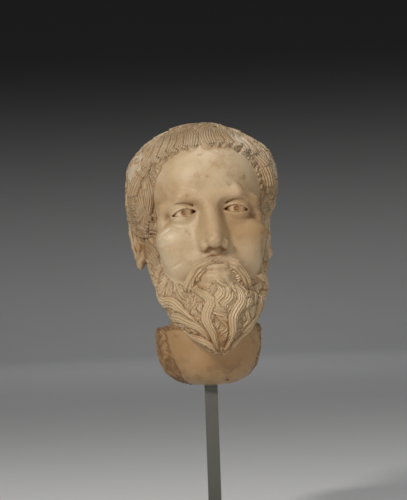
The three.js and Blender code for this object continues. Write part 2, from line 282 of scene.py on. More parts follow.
def model_nose(clay):
    add_chain(clay, 10, [(0, -88, 12), (0, -94, -8), (0, -103, -30)], [6, 7, 8.5])
    add_ball(clay, 10, (0, -90, -32), (16, 15, 20))
    add_ball(clay, 5, (0, -109, -40), (9.5, 9, 8.5))
    add_ball(clay, 4, (11.5, -98, -44), (6.5, 9, 6.6), both=True)
    add_ball(clay, 3, (6.2, -103, -51), (3.0, 5.5, 3.6), both=True, cut=True)


def model_mouth(clay):
    upper_lip = [(0, -103.5, -70.5), (9, -103, -69.5), (24, -93, -74.5)]
    add_chain(clay, 3, upper_lip, [3.6, 3.6, 1.8], both=True)
    lower_lip = [(0, -101.5, -81.2), (9, -100, -80.8), (22, -92.5, -76.8)]
    add_chain(clay, 5, lower_lip, [4.8, 4.4, 2.2], both=True)
    line = [(0, -107.5, -75.6), (10, -106.5, -75), (25, -95.5, -76.4)]
    add_chain(clay, 2, line, [1.4, 1.3, 0.9], both=True, cut=True)


def model_ears(clay):
    """Two ears with a rim, an inner fold, a lobe and two hollows; the left one stands out further."""
    for side in (-1, 1):
        base = np.array([side * 73 - 4, 12, -16])
        stand = 0.75 if side < 0 else 0.5

        def at(out, back, up):
            return base + (side * stand * out, back, up)

        clay.work(ball(at(2, 3, -2), (8, 15, 27)), 6)
        helix = [at(8, -8, 4), at(12, -8, 20), at(15, 2, 30), at(17, 15, 28)]
        helix += [at(18, 21, 14), at(16, 19, -4), at(13, 11, -18), at(10, 2, -27)]
        add_chain(clay, 2.5, helix, [2.6, 3.2, 3.6, 3.6, 3.4, 3, 3, 4])
        inner = [at(12, 0, 17), at(13, 9, 12), at(13, 12, 0), at(11, 6, -12)]
        add_chain(clay, 2, inner, [2.4, 2.8, 2.8, 2.4])
        clay.work(ball(at(9, 1, -27), (5, 7, 8)), 3)  # lobe
        clay.work(ball(at(10, -9, -8), (4, 4, 6)), 2)
        clay.work(ball(at(15, 2, -6), (7, 6, 10)), 3, cut=True)
        clay.work(ball(at(15, 9, 20), (5, 6, 6)), 2, cut=True)


def model_beard(clay):
    """The beard down both sides from the ears, its front and tip, and the masses round the mouth."""
    left, right = [-66, -60, -53, -44, -32, -19], [60, 52, 45, 38, 28, 14]
    down = [(-8, -12), (-14, -36), (-26, -62), (-40, -88), (-54, -110), (-66, -124)]
    for across in (left, right):
        side = [(x, y, z) for x, (y, z) in zip(across, down)]
        add_chain(clay, 10, side, [9, 15, 19, 22, 23, 24])
    add_ball(clay, 16, (0, -74, -116), (40, 34, 38))
    add_ball(clay, 14, (-4, -78, -142), (22, 20, 28))
    add_chain(clay, 5, [(4, -103, -61), (22, -98, -69), (34, -86, -88)], [4, 5.5, 6], both=True)
    add_chain(clay, 4, [(0, -100, -90), (0, -99, -100)], [6, 8])


def model_hair(clay):
    """A cap of hair, fuller at the sides and the nape, cut back to a hairline round the face."""
    add_ball(clay, 1, (-2, 8, 38), (81, 101, 82.5))
    add_ball(clay, 20, (-74, 2, 30), (19, 48, 46))
    add_ball(clay, 20, (70, 0, 46), (20, 46, 40))
    add_ball(clay, 24, (-44, 0, 68), (32, 50, 28))
    add_ball(clay, 24, (36, 0, 70), (30, 50, 26))
    add_ball(clay, 20, (0, 62, -14), (62, 42, 54))
    add_ball(clay, 4, (0, -112, -8), (95, 95, 95), cut=True)


def model_neck(clay):
    """The neck's column and the bowl it ends in, with a broken rim, a dent and the drilled hole."""
    turn, origin = head_to_stone()
    x, y, z = np.meshgrid(*clay.axes, indexing="ij")
    x, y, z = (turn[k, 0] * x + turn[k, 1] * y + turn[k, 2] * z + origin[k] for k in range(3))
    column = rod((6, 0, 54), 53, (4, -12, 178), 49)[0](x, y, z)
    u, v, w = (value - middle for value, middle in zip((x, y, z), BOWL_MIDDLE))
    level = np.hypot(u / BOWL_RADII[0], v / BOWL_RADII[1])
    reach = (level**BOWL_POWER + np.abs(w / BOWL_RADII[2]) ** BOWL_POWER) ** (1 / BOWL_POWER)
    bowl = 62 * (reach - 1)
    around = np.arctan2(v, u)
    rim = z - (RIM_HEIGHT + 1.6 * np.sin(5 * around + 1) + 1.2 * np.sin(11 * around) + 0.03 * y)
    bowl = -blend(-bowl, -rim, 4)
    neck = blend(column, bowl, 7)
    dent = [(-60, -26, 72), (-51, -30, 30), (-34, -34, 6)]
    for start, end in zip(dent, dent[1:]):
        neck = -blend(-neck, rod(start, 4.5, end, 3)[0](x, y, z), 6)
    neck = -blend(-neck, z, 2)
    drill = np.maximum(np.hypot(x, y) - DRILL_RADIUS, z - DRILL_DEPTH)
    clay.field = np.maximum(blend(clay.field, neck, 10), -drill)


def model_head(step):
    """The whole stone without its locks, and the hair and the beard on their own."""
    clay, hair, beard = Clay(step), Clay(ROUGH_STEP), Clay(ROUGH_STEP)
    model_skull(clay)
    model_eyes(clay)
    model_nose(clay)
    model_mouth(clay)
    mass = Clay(step)
    model_hair(mass)
    clay.field = blend(clay.field, mass.field, 5)
    model_hair(hair)
    model_ears(clay)
    model_beard(clay)
    model_beard(beard)
    model_neck(clay)
    return clay, hair, beard


# ---- the clay's surface as a mesh ----


def skin(clay):
    """The surface's points and four-sided faces: a point in each cell that the surface crosses."""
    f = clay.field
    inside = f < 0
    ends = (slice(None, -1), slice(1, None))
    corners = [inside[ends[i], ends[j], ends[k]] for i, j, k in np.ndindex(2, 2, 2)]
    count = sum(c.astype(np.uint8) for c in corners)
    cells = np.argwhere((count > 0) & (count < 8))
    number = np.full(count.shape, -1, np.int32)
    number[tuple(cells.T)] = np.arange(len(cells))
    total, hits = np.zeros((len(cells), 3)), np.zeros(len(cells))
    for axis in range(3):
        along = np.eye(3, dtype=int)[axis]
        for i, j in np.ndindex(2, 2):
            a = cells + np.insert([i, j], axis, 0)
            fa, fb = f[tuple(a.T)], f[tuple((a + along).T)]
            crossed = (fa < 0) != (fb < 0)
            share = np.where(crossed, fa / np.where(crossed, fa - fb, 1), 0)
            total += crossed[:, None] * (a + share[:, None] * along)
            hits += crossed
    points = clay.low + clay.step * total / hits[:, None]
    faces = [faces_across(inside, number, axis) for axis in range(3)]
    return points, np.concatenate(faces)


def faces_across(inside, number, axis):
    """The faces between cells round each grid edge along axis that the surface crosses."""
    b, c = [k for k in range(3) if k != axis]
    ahead = np.roll(inside, -1, axis)
    edges = np.argwhere(inside != ahead)
    edges = edges[(edges[:, axis] < inside.shape[axis] - 1) & (edges[:, b] > 0) & (edges[:, c] > 0)]
    back_b, back_c = np.eye(3, dtype=int)[b], np.eye(3, dtype=int)[c]
    ring = [edges - back_b - back_c, edges - back_c, edges, edges - back_b]
    faces = np.stack([number[tuple(cell.T)] for cell in ring], -1)
    outward = inside[tuple(edges.T)] == (axis != 1)
    return np.where(outward[:, None], faces, faces[:, ::-1])


# ---- laying locks ----

OUTLINE = 1.9  # how far to each side of a lock's edge its outline is cut
EDGE_RISE = 1.4
MOST_LIFT = 6  # a lock leaves alone what lies further above or below its path
TRACE_STEPS = 10
ARC_POINTS = 8


class Cut(NamedTuple):
    """How one kind of lock is carved."""

    height: float  # how far it stands up at its end
    strand: float  # how wide its strands are, about
    depth: float  # how deep the grooves between them are
    root: float = 0.3  # its height where it starts, as a share of its height at its end
    tip: float = 0.0  # how blunt its end is, from 0 for a point
    cap: float = None  # how far it goes on past its path, where that isn't half its width
    channel: float = 1.2  # how deep its outline is cut


class Relief:
    """What is laid on the surface: each lock hides what it covers, as carved locks do."""

    def __init__(self, points, normals):
        self.order = np.argsort(points[:, 2])
        self.points = points[self.order]
        self.normals = normals[self.order]
        self.height = np.zeros(len(points))
        self.within = 1.0
        self.wander = 0.16 * grain(self.points, 7, 31) + 0.4 * grain(self.points, 19, 32)
        self.facts = {name: np.zeros(len(points)) for name in ("groove", "strand", "combed")}

    def keep_to(self, mass):
        """From now on, locks are laid only where the surface is that mass's own."""
        self.within = smooth((3.4 - np.abs(mass.sample(self.points))) / 1.5)

    def near(self, path, reach):
        """The numbers of the points in the box round a path."""
        low, high = path.min(0) - reach, path.max(0) + reach
        first, last = np.searchsorted(self.points[:, 2], (low[2], high[2]))
        p = self.points[first:last]
        fits = (p[:, 0] > low[0]) & (p[:, 0] < high[0]) & (p[:, 1] > low[1]) & (p[:, 1] < high[1])
        return first + np.flatnonzero(fits)

    def beside(self, here, path, normals):
        """Where points lie from a path: their share of its length, how far to its side, how far off and how
        far above, and how nearly they face as it does."""
        along = np.diff(path, axis=0)
        p = self.points[here][:, None, :] - path[:-1]
        share = np.clip((p * along).sum(-1) / np.maximum((along * along).sum(-1), 1e-6), 0, 1)
        off = p - share[..., None] * along
        lift = (off * normals[:-1]).sum(-1)
        flat = off - lift[..., None] * normals[:-1]
        far = np.linalg.norm(flat, axis=-1)
        side = (flat * unit(np.cross(normals[:-1], along))).sum(-1)
        nearest = np.argmin(far + 0.3 * np.abs(lift), axis=1)
        facing = (self.normals[here] * normals[nearest]).sum(-1)
        at = (np.arange(len(here)), nearest)
        return (nearest + share[at]) / len(along), side[at], far[at], lift[at], facing

    def lock(self, path, normals, width, cut):
        """One lock along a path: strands side by side that gather at its end."""
        here = self.near(path, width)
        if len(here) < 8 or len(path) < 3:
            return
        s, side, far, lift, facing = self.beside(here, path, normals)
        half = width / 2 * np.clip(np.sin(np.pi * (0.16 + (0.84 - cut.tip) * s)), 0, 1) ** 0.65 + 0.2
        if cut.cap is not None:
            beyond = np.sqrt(np.maximum(far**2 - side**2, 0)) * half / cut.cap
            far = np.hypot(side, beyond)
        edge = half - far
        q = np.clip(side / half, -1, 1)
        count = max(2, round(width / cut.strand))
        phase = (q * 0.5 + 0.5) * count + self.wander[here]
        valley = 0.5 + 0.5 * np.cos(2 * np.pi * phase)
        crowd = np.clip(half / width * 2.6, 0, 1)
        rise = cut.height * (cut.root + (1 - cut.root) * s)
        laid = rise * np.sqrt(1 - 0.8 * q * q) - cut.depth * crowd * valley
        on = (np.abs(lift) < MOST_LIFT) & (facing > 0.1) & (edge > -OUTLINE)
        made = {"groove": 0.45 * crowd * valley, "strand": phase, "combed": crowd * smooth(edge / 2)}
        self.lay(here, on, edge, laid, cut.channel, made)

    def lay(self, here, on, edge, laid, channel, made):
        """Cuts a lock's outline, lays it over what is there, and keeps what was made of each point."""
        within = np.broadcast_to(self.within, len(self.height))[here]
        mask = np.where(on, smooth(edge / EDGE_RISE), 0) * within
        line = np.where(on, np.clip(1 - np.abs(edge) / OUTLINE, 0, 1) ** 2, 0) * within
        old = self.height[here] - channel * line
        self.height[here] = old + (laid - old) * mask
        for name, value in made.items():
            values = self.facts[name]
            share = mask > 0.5 if name == "strand" else mask
            values[here] = values[here] + (value - values[here]) * share
        self.facts["groove"][here] = np.maximum(self.facts["groove"][here], 0.8 * line)
        self.facts["combed"][here] *= 1 - line

    def unsorted(self, values):
        """Values in the order in which the points first came."""
        out = np.empty_like(values)
        out[self.order] = values
        return out


def smooth(t):
    """A step from 0 to 1 that starts and ends gently."""
    t = np.clip(t, 0, 1)
    return t * t * (3 - 2 * t)


def waves(points, scale, seed):
    """A smooth number from about -1 to 1 that wanders over space."""
    draw = np.random.default_rng(seed)
    out = 0
    for _ in range(4):
        k = unit(draw.normal(size=3)) * 2 * np.pi / scale * draw.uniform(0.7, 1.3)
        out = out + np.sin(points @ k + draw.uniform(0, 2 * np.pi))
    return out / 2.4


def spread(points, spacing, seed):
    """Points picked so that no two are closer than spacing."""
    draw = np.random.default_rng(seed)
    pool = points[draw.permutation(len(points))[:9000]]
    kept = np.empty((0, 3))
    for p in pool:
        if len(kept) == 0 or np.min(((kept - p) ** 2).sum(1)) > spacing**2:
            kept = np.vstack([kept, p])
    return kept


def trace(clay, seeds, flow, length, turn):
    """Paths over the surface from seeds, along the flow turned by turn(place, share) degrees."""
    p = clay.settle(seeds)
    n = clay.normals(p, 4)
    paths, normals = [p], [n]
    stride = np.broadcast_to(length, len(p))[:, None] / TRACE_STEPS
    for k in range(TRACE_STEPS):
        d = flow(p)
        d = unit(d - (d * n).sum(-1, keepdims=True) * n)
        angle = np.radians(turn(p, k / TRACE_STEPS))[:, None]
        d = d * np.cos(angle) + np.cross(n, d) * np.sin(angle)
        p = clay.settle(p + d * stride)
        n = clay.normals(p, 4)
        paths.append(p)
        normals.append(n)
    return np.stack(paths, 1), np.stack(normals, 1)


def guide(clay, points, steps):
    """A path through given points, laid on the surface."""
    points = np.array(points, float)
    at = np.arange(len(points))
    t = np.linspace(0, len(points) - 1, steps)
    path = np.stack([np.interp(t, at, points[:, k]) for k in range(3)], -1)
    path[1:-1] = (path[:-2] + 2 * path[1:-1] + path[2:]) / 4
    path = clay.settle(path)
    return path, clay.normals(path, 4)


# ---- hair ----

CROWN = np.array([6, 42, 128.0])
BEARD_TIP = np.array([-4, -84, -178.0])
HAIR_CUT = Cut(height=3.4, strand=3.5, depth=0.5, root=0.25, tip=0.06, channel=1.0)
TEMPLE_CUT = Cut(height=6.0, strand=3.4, depth=0.5, tip=0.4, cap=5)
FRINGE_CUT = Cut(height=7.0, strand=3.4, depth=0.5, tip=0.35, cap=4, channel=0.9)
BEARD_CUT = Cut(height=3.4, strand=3.4, depth=0.45, root=0.25, channel=0.9)
LONG_CUT = Cut(height=5.4, strand=3.6, depth=0.7, root=0.25, channel=2.2)
MOUSTACHE_CUT = Cut(height=2.4, strand=3.2, depth=0.6, root=0.15)
HAIR_SPACING = 10
HAIR_WIDTH = 14
HAIR_LENGTH = 46
BEARD_SPACING = 8
BEARD_WIDTH = 13
BEARD_LENGTH = 44
FRINGE_WIDTH = 19
MOUSTACHE_WIDTH = 9.5
# Locks given one by one: the points along each, and its width.
TEMPLE_LOCKS = [
    ([(-54, -36, 96), (-66, -40, 78), (-74, -38, 58), (-79, -33, 36)], 22),
    ([(52, -36, 92), (63, -42, 74), (69, -42, 56), (72, -40, 36)], 22),
    ([(-48, -40, 102), (-58, -50, 88), (-64, -54, 74), (-73, -46, 58)], 20),
    ([(50, -40, 98), (58, -48, 86), (63, -52, 72), (70, -44, 56)], 20),
]
LONG_LOCKS = [
    ([(-66, -16, -58), (-60, -34, -88), (-46, -58, -104), (-34, -84, -120), (-20, -96, -142)], 15),
    ([(-58, -24, -88), (-48, -42, -108), (-36, -66, -118), (-22, -90, -134), (-16, -96, -156)], 14),
    ([(-48, -36, -110), (-38, -52, -124), (-28, -70, -136), (-14, -86, -152), (-9, -92, -174)], 13),
    ([(58, -22, -70), (54, -36, -92), (40, -58, -106), (32, -74, -126), (16, -86, -144)], 14),
    ([(46, -34, -100), (38, -48, -114), (30, -68, -130), (14, -82, -148), (5, -88, -170)], 13),
    ([(20, -96, -96), (28, -98, -112), (12, -104, -128), (14, -98, -148), (0, -92, -174)], 13),
    ([(-24, -94, -96), (-8, -106, -110), (-22, -106, -128), (-12, -102, -148), (-7, -94, -174)], 13),
]
# Each half of the fringe: its roots' and its ends' first and last points, from the temple to the parting,
# how many locks it has, and which way they bulge.
FRINGE = [
    ((-46, -38, 104), (-17, -54, 117), (-58, -62, 68), (-17, -85, 84), 5, 6),
    ((50, -40, 100), (11, -57, 117), (62, -56, 72), (7, -87, 84), 6, -6),
]


def hair_flow(p):
    """Away from the crown and down, and forward at the sides."""
    f = unit(p - CROWN) + (0, 0, -0.55)
    beside = np.clip(np.abs(p[:, 0]) / 80, 0, 1) * np.clip((90 - p[:, 2]) / 60, 0, 1) * (p[:, 1] < 40)
    return f + beside[:, None] * (0, -0.75, -0.1)


def lay_hair(relief, clay, hair):
    """Locks all over the hair, the ones furthest from the crown first, each curling its own way."""
    relief.keep_to(hair)
    here = relief.points[(relief.within > 0.9) & (relief.points[:, 2] > -72)]
    seeds = spread(here, HAIR_SPACING, 11)
    seeds = seeds[(seeds[:, 1] > -60) | (seeds[:, 2] < 40)]
    seeds = seeds[np.argsort(-np.linalg.norm(seeds - CROWN, axis=1))]
    curl = 60 * np.clip(2 * waves(seeds, 45, 3), -1, 1)
    curl *= smooth((np.linalg.norm(seeds - CROWN, axis=1) - 30) / 50)
    size = 1 + 0.2 * waves(seeds, 30, 5)

    def turn(p, share):
        return 30 * np.sin(0.075 * np.linalg.norm(p - CROWN, axis=1) + 3 * waves(p, 90, 6)) + curl * share**2

    paths, normals = trace(clay, seeds, hair_flow, HAIR_LENGTH * size, turn)
    for path, normal, big in zip(paths, normals, size):
        relief.lock(path, normal, HAIR_WIDTH * big, HAIR_CUT)


def arc(start, middle, end):
    """A curve from start to end that leaves for middle and arrives from it."""
    t = np.linspace(0, 1, ARC_POINTS)[:, None]
    return (1 - t) ** 2 * start + 2 * t * (1 - t) * middle + t**2 * end


def lay_fringe(relief, clay):
    """Locks combed forward over the forehead, which curl away from a parting at their ends."""
    relief.within = 1.0
    for points, width in TEMPLE_LOCKS:
        path, normals = guide(clay, points, 12)
        relief.lock(path, normals, width, TEMPLE_CUT)
    for first_root, last_root, first_end, last_end, count, bulge in FRINGE:
        for share in np.linspace(0, 1, count):
            root = toward(np.array(first_root, float), last_root, share)
            end = toward(np.array(first_end, float), last_end, share)
            middle = (root + end) / 2 + (bulge, -12, 6)
            path, normals = guide(clay, arc(root, middle, end), 12)
            relief.lock(path, normals, FRINGE_WIDTH, FRINGE_CUT)


def lay_beard(relief, clay, beard):
    """Locks all over the beard, the ones at its tip first, so that the upper ones lie over them."""
    relief.keep_to(beard)
    here = relief.points[(relief.within > 0.9) & (relief.points[:, 2] < 0)]
    seeds = spread(here, BEARD_SPACING, 12)
    seeds = seeds[clay.normals(seeds)[:, 2] > -0.9]
    seeds = seeds[np.argsort(np.linalg.norm(seeds - BEARD_TIP, axis=1))]

    def flow(p):
        f = unit(BEARD_TIP - p) + (0, 0, -0.35)
        beside = np.clip((np.abs(p[:, 0]) - 40) / 30, 0, 1)
        return f + beside[:, None] * (0, -0.25, -0.5)

    curl = 26 * np.clip(2 * waves(seeds, 40, 13), -1, 1)
    size = 1 + 0.25 * waves(seeds, 22, 15)

    def turn(p, share):
        down = np.linalg.norm(p - BEARD_TIP, axis=1)
        return 52 * np.sin(0.155 * down + 2.6 * waves(p, 70, 16)) + curl * share**2

    paths, normals = trace(clay, seeds, flow, BEARD_LENGTH * size, turn)
    for path, normal, big in zip(paths, normals, size):
        relief.lock(path, normal, BEARD_WIDTH * big, BEARD_CUT)


def lay_long_locks(relief, clay):
    """The longer locks at the beard's lower edge, which curl in towards its tip."""
    relief.within = 1.0
    for points, width in LONG_LOCKS:
        path, normals = guide(clay, points, 14)
        relief.lock(path, normals, width, LONG_CUT)


def lay_moustache(relief, clay):
    """Two locks on each side, from under the nose round the mouth's corner."""
    for side in (-1, 1):
        for drop, out in ((4, -2), (0, 2)):
            points = [(-1, -108, -57 - drop), (12, -108, -59 - drop), (25, -101, -68 - drop)]
            points += [(33 + out, -92, -82), (37 + out, -85, -98)]
            path, normals = guide(clay, [(side * x, y, z) for x, y, z in points], 12)
            relief.lock(path, normals, MOUSTACHE_WIDTH, MOUSTACHE_CUT)


# ---- wear ----
#
# Places here are measured in the stone's own upright frame, from its lowest point.

WORN_PATCHES = [
    ((46, -64, 300), 17),
    ((-78, -34, 262), 20),
    ((86, -24, 262), 12),
    ((-34, 84, 276), 22),
    ((64, 66, 226), 14),
    ((8, -100, 48), 12),
]
SCRATCHES = [  # on the front, each from (x, z) to (x, z)
    ((-54, 184), (-40, 193)),
    ((-56, 170), (-46, 176)),
    ((-44, 142), (-29, 151)),
]
SCRATCH_DEPTH = 1.1
LARGE_PITS = [((20, -29, 6), 3.4), ((-30, -20, 5), 2.6)]  # each a place and a radius, as the patches are
PIT_COUNT = 48
PIT_MIDDLE = (0, 0, 190)
PIT_RADII = (1.2, 2.3)
PIT_DEPTH = 1.1
FACE_TOP = 285
HEWN_TOP = 78
LATTICE = 32


def grain(points, scale, seed):
    """Smooth random numbers from -1 to 1, changing over scale."""
    lattice = np.random.default_rng(seed).uniform(-1, 1, (LATTICE, LATTICE, LATTICE))
    g = points / scale
    i = np.floor(g).astype(int)
    f = smooth(g - i)
    out = 0
    for corner in np.ndindex(2, 2, 2):
        share = np.prod(np.where(corner, f, 1 - f), axis=-1)
        a, b, c = ((i + corner) % LATTICE).T
        out = out + share * lattice[a, b, c]
    return out


def toward(value, other, share):
    """A value moved by a share of the way to another."""
    return value + (other - value) * share


def small_pits(places):
    """Random places on the stone, off the face, with their radii."""
    draw = np.random.default_rng(51)
    rays = unit(places - PIT_MIDDLE)
    out = []
    for way in unit(draw.normal(size=(PIT_COUNT, 3))):
        radius = draw.uniform(*PIT_RADII)
        place = places[np.argmax(rays @ way)]
        if place[1] > -50 or place[2] > FACE_TOP:
            out.append((place, radius))
    return out


def worn_share(places):
    """How worn each place is: patches with ragged edges."""
    ragged = 0.45 * grain(places, 9, 43) + 0.35 * grain(places, 4, 47)
    worn = np.zeros(len(places))
    for centre, radius in WORN_PATCHES:
        far = np.linalg.norm(places - centre, axis=1) / radius
        worn = np.maximum(worn, smooth((1.1 - far + ragged) * 2))
    return worn


def hewn_share(places):
    """How roughly hewn each place is: the neck's bowl at its sides and back."""
    x, y, z = places.T
    around = np.degrees(np.arctan2(y - BOWL_MIDDLE[1], x - BOWL_MIDDLE[0]))
    from_front = np.abs((around + 78 + 180) % 360 - 180)
    return smooth((HEWN_TOP - z) / 8) * smooth((from_front - 54 + 14 * grain(places, 16, 46)) / 7)


def scratch_share(places):
    """The scratches, deepest halfway along."""
    scratch = np.zeros(len(places))
    front = places[:, [0, 2]]
    for start, end in SCRATCHES:
        a, b = np.array(start, float), np.array(end, float)
        share = np.clip((front - a) @ (b - a) / ((b - a) @ (b - a)), 0, 1)
        off = front - a - share[:, None] * (b - a)
        mark = smooth(1.5 - np.linalg.norm(off, axis=1)) * np.sin(np.pi * share) ** 0.6
        scratch = np.maximum(scratch, mark * (places[:, 1] < 0))
    return scratch


def pit_share(places):
    """The pits, deepest in their middles."""
    pit = np.zeros(len(places))
    for centre, radius in small_pits(places) + LARGE_PITS:
        pit = np.maximum(pit, smooth(1.3 - np.linalg.norm(places - centre, axis=1) / radius))
    return pit


def wear(places, height, facts):
    """Rubs patches flat, roughs the neck's bowl, and adds scratches and pits."""
    rough = 0.6 * grain(places, 2.8, 41) + 0.6 * grain(places, 6, 42)
    worn = worn_share(places)
    height = toward(height, 0.55 * height + 0.2 + 0.7 * rough, worn)
    facts["groove"] = toward(facts["groove"], 0.25 * np.clip(rough, 0, 1), worn)
    facts["combed"] = facts["combed"] * (1 - worn)

    x, _, z = places.T
    hewn = hewn_share(places)
    strokes = np.sin(1.6 * (0.8 * x + 0.6 * z + 4 * grain(places, 14, 44))) * grain(places, 11, 45)
    cut = 1.3 * rough + 1.1 * strokes
    height = height + hewn * (cut - 0.6)
    facts["groove"] = toward(facts["groove"], np.clip(0.5 - cut, 0, 1), hewn)

    scratch, pit = scratch_share(places), pit_share(places)
    height = height - SCRATCH_DEPTH * scratch
    height = height - PIT_DEPTH * pit
    facts.update(worn=worn, hewn=hewn, pit=pit, fresh=scratch)
    return height


# ---- the marble piece ----


def carve():
    """The finished surface, upright and measured from its lowest point: its points, its faces, and what the
    stone's colours need to know of each point."""
    clay, hair, beard = model_head(STEP)
    points, faces = skin(clay)
    for _ in range(2):
        points = points - clay.normals(points) * clay.sample(points)[:, None]
    relief = Relief(points, clay.normals(points, 3))
    lay_beard(relief, clay, beard)
    lay_long_locks(relief, clay)
    lay_hair(relief, clay, hair)
    lay_fringe(relief, clay)
    lay_moustache(relief, clay)
    # painted shade in the drilled pupils: the groove fact is raised round each, which darkens them with ochre
    for side in (-1, 1):
        far = np.linalg.norm(relief.points - pupil_place(side), axis=1)
        relief.facts["groove"] = np.maximum(relief.facts["groove"], 0.8 * smooth(2 - far / 2.8))
    turn, origin = head_to_stone()
    places = points @ turn.T + origin
    facts = {name: relief.unsorted(values) for name, values in relief.facts.items()}
    height = wear(places, relief.unsorted(relief.height), facts)
    normals = relief.unsorted(relief.normals)
    # how shut in each point is; the stone's colour puts ochre there, as patina and as painted shade
    hollow = 0
    for reach in (4, 8, 14):
        hollow = hollow + np.clip(1 - clay.sample(points + normals * reach) / reach, 0, 1) / 3
    facts["hollow"] = hollow
    return places + normals @ turn.T * height[:, None], faces, facts


def mesh_of(name, points, faces):
    """A mesh of faces that all have as many corners."""
    mesh = bpy.data.meshes.new(name)
    mesh.vertices.add(len(points))
    mesh.vertices.foreach_set("co", points.astype(np.float32).ravel())
    mesh.loops.add(faces.size)
    mesh.loops.foreach_set("vertex_index", faces.astype(np.int32).ravel())
    mesh.polygons.add(len(faces))
    mesh.polygons.foreach_set("loop_start", np.arange(0, faces.size, faces.shape[1], dtype=np.int32))
    mesh.update(calc_edges=True)
    mesh.validate()
    return mesh


def points_of(mesh):
    out = np.empty(3 * len(mesh.vertices), np.float32)
    mesh.vertices.foreach_get("co", out)
    return out.reshape(-1, 3)


def thin(obj, most):
    """Joins the smallest faces until no more than that many triangles are left."""
    triangles = 2 * len(obj.data.polygons)
    if triangles > most:
        less = obj.modifiers.new("thin", "DECIMATE")
        less.ratio = most / triangles
        bpy.context.view_layer.update()
        got = obj.evaluated_get(bpy.context.evaluated_depsgraph_get())
        mesh = bpy.data.meshes.new_from_object(got)
        obj.modifiers.clear()
        obj.data = mesh


def carry(facts, points, mesh):
    """Gives a thinned mesh the facts of the points it was made from, as attributes of its own points."""
    tree = kdtree.KDTree(len(points))
    for i, p in enumerate(points):
        tree.insert(p, i)
    tree.balance()
    near = np.array([[(i, far) for _, i, far in tree.find_n(p, 3)] for p in points_of(mesh)])
    index = near[..., 0].astype(int)
    weight = 1 / (near[..., 1] + 1e-5)
    weight /= weight.sum(1, keepdims=True)
    for name, values in facts.items():
        value = (values[index] * weight).sum(1)
        if name == "strand":
            broken = np.ptp(values[index], axis=1) > 0.8
            value = np.where(broken, values[index[:, 0]], value)
        mesh.attributes.new(name, "FLOAT", "POINT").data.foreach_set("value", value.astype(np.float32))


def marble_head():
    points, faces, facts = carve()
    points = points / MM_PER_M + (0, 0, STONE_LOW.z)
    obj = bpy.data.objects.new("marble_portrait_head", mesh_of("marble_portrait_head", points, faces))
    bpy.context.scene.collection.objects.link(obj)
    thin(obj, MOST_TRIANGLES)
    carry(facts, points, obj.data)
    obj.data.polygons.foreach_set("use_smooth", [True] * len(obj.data.polygons))
    return obj


# ---- materials ----

MIX_COLOUR_INPUTS = (6, 7)  # the Mix node has a pair for each kind of data, all with the same names
MIX_COLOUR_OUTPUT = 2


class Nodes:
    """A short way to build a material's nodes."""

    def __init__(self, name):
        self.material = bpy.data.materials.new(name)
        self.material.use_nodes = True
        self.tree = self.material.node_tree
        self.shader = self.tree.nodes["Principled BSDF"]

    def node(self, kind, **values):
        node = self.tree.nodes.new(kind)
        for key, value in values.items():
            setattr(node, key, value)
        return node

    def link(self, source, socket):
        self.tree.links.new(source, socket)

    def put(self, value, socket):
        if isinstance(value, bpy.types.NodeSocket):
            self.link(value, socket)
        else:
            socket.default_value = value

    @property
    def place(self):
        return self.node("ShaderNodeTexCoord").outputs["Object"]

    def noise(self, scale, detail, rough=0.55):
        node = self.node("ShaderNodeTexNoise")
        self.link(self.place, node.inputs["Vector"])
        for key, value in {"Scale": scale, "Detail": detail, "Roughness": rough}.items():
            node.inputs[key].default_value = value
        return node.outputs["Fac"]

    def cells(self, scale):
        node = self.node("ShaderNodeTexVoronoi")
        self.link(self.place, node.inputs["Vector"])
        node.inputs["Scale"].default_value = scale
        return node.outputs["Distance"]

    def height(self, over=0.0):
        parts = self.node("ShaderNodeSeparateXYZ")
        self.link(self.place, parts.inputs[0])
        return self.math("SUBTRACT", parts.outputs["Z"], over)

    def fact(self, name):
        return self.node("ShaderNodeAttribute", attribute_name=name).outputs["Fac"]

    def math(self, operation, a, b=0.0):
        node = self.node("ShaderNodeMath", operation=operation)
        self.put(a, node.inputs[0])
        self.put(b, node.inputs[1])
        return node.outputs[0]

    def times(self, a, b):
        return self.math("MULTIPLY", a, b)

    def remap(self, value, low, high, to_low=0.0, to_high=1.0):
        node = self.node("ShaderNodeMapRange", interpolation_type="SMOOTHSTEP")
        self.link(value, node.inputs["Value"])
        ends = {"From Min": low, "From Max": high, "To Min": to_low, "To Max": to_high}
        for key, number in ends.items():
            node.inputs[key].default_value = number
        return node.outputs["Result"]

    def patches(self, noise, low, high, most):
        """A share that rises to most where the noise is over low."""
        return self.times(self.remap(noise, low, high), most)

    def mix(self, share, a, b):
        node = self.node("ShaderNodeMix", data_type="RGBA")
        self.put(share, node.inputs["Factor"])
        self.put(a, node.inputs[MIX_COLOUR_INPUTS[0]])
        self.put(b, node.inputs[MIX_COLOUR_INPUTS[1]])
        return node.outputs[MIX_COLOUR_OUTPUT]

    def bump(self, height, distance, strength, before=None):
        node = self.node("ShaderNodeBump")
        node.inputs["Distance"].default_value = distance
        node.inputs["Strength"].default_value = strength
        self.link(height, node.inputs["Height"])
        if before is not None:
            self.link(before, node.inputs["Normal"])
        return node.outputs["Normal"]

    def set(self, name, value):
        """Gives one of the shader's sockets a value or a link."""
        self.put(value, self.shader.inputs[name])


CREAM = (0.55, 0.395, 0.232, 1)
PALE = (0.62, 0.485, 0.315, 1)
# painted light: the paler colour that the beard is given where light falls on it
BEARD = (0.80, 0.585, 0.345, 1)
TAN = (0.39, 0.225, 0.095, 1)
OCHRE = (0.27, 0.125, 0.04, 1)
BROWN = (0.17, 0.095, 0.045, 1)
GREYISH = (0.62, 0.54, 0.43, 1)
FRESH = (0.76, 0.68, 0.55, 1)
RUST = (0.09, 0.022, 0.01, 1)


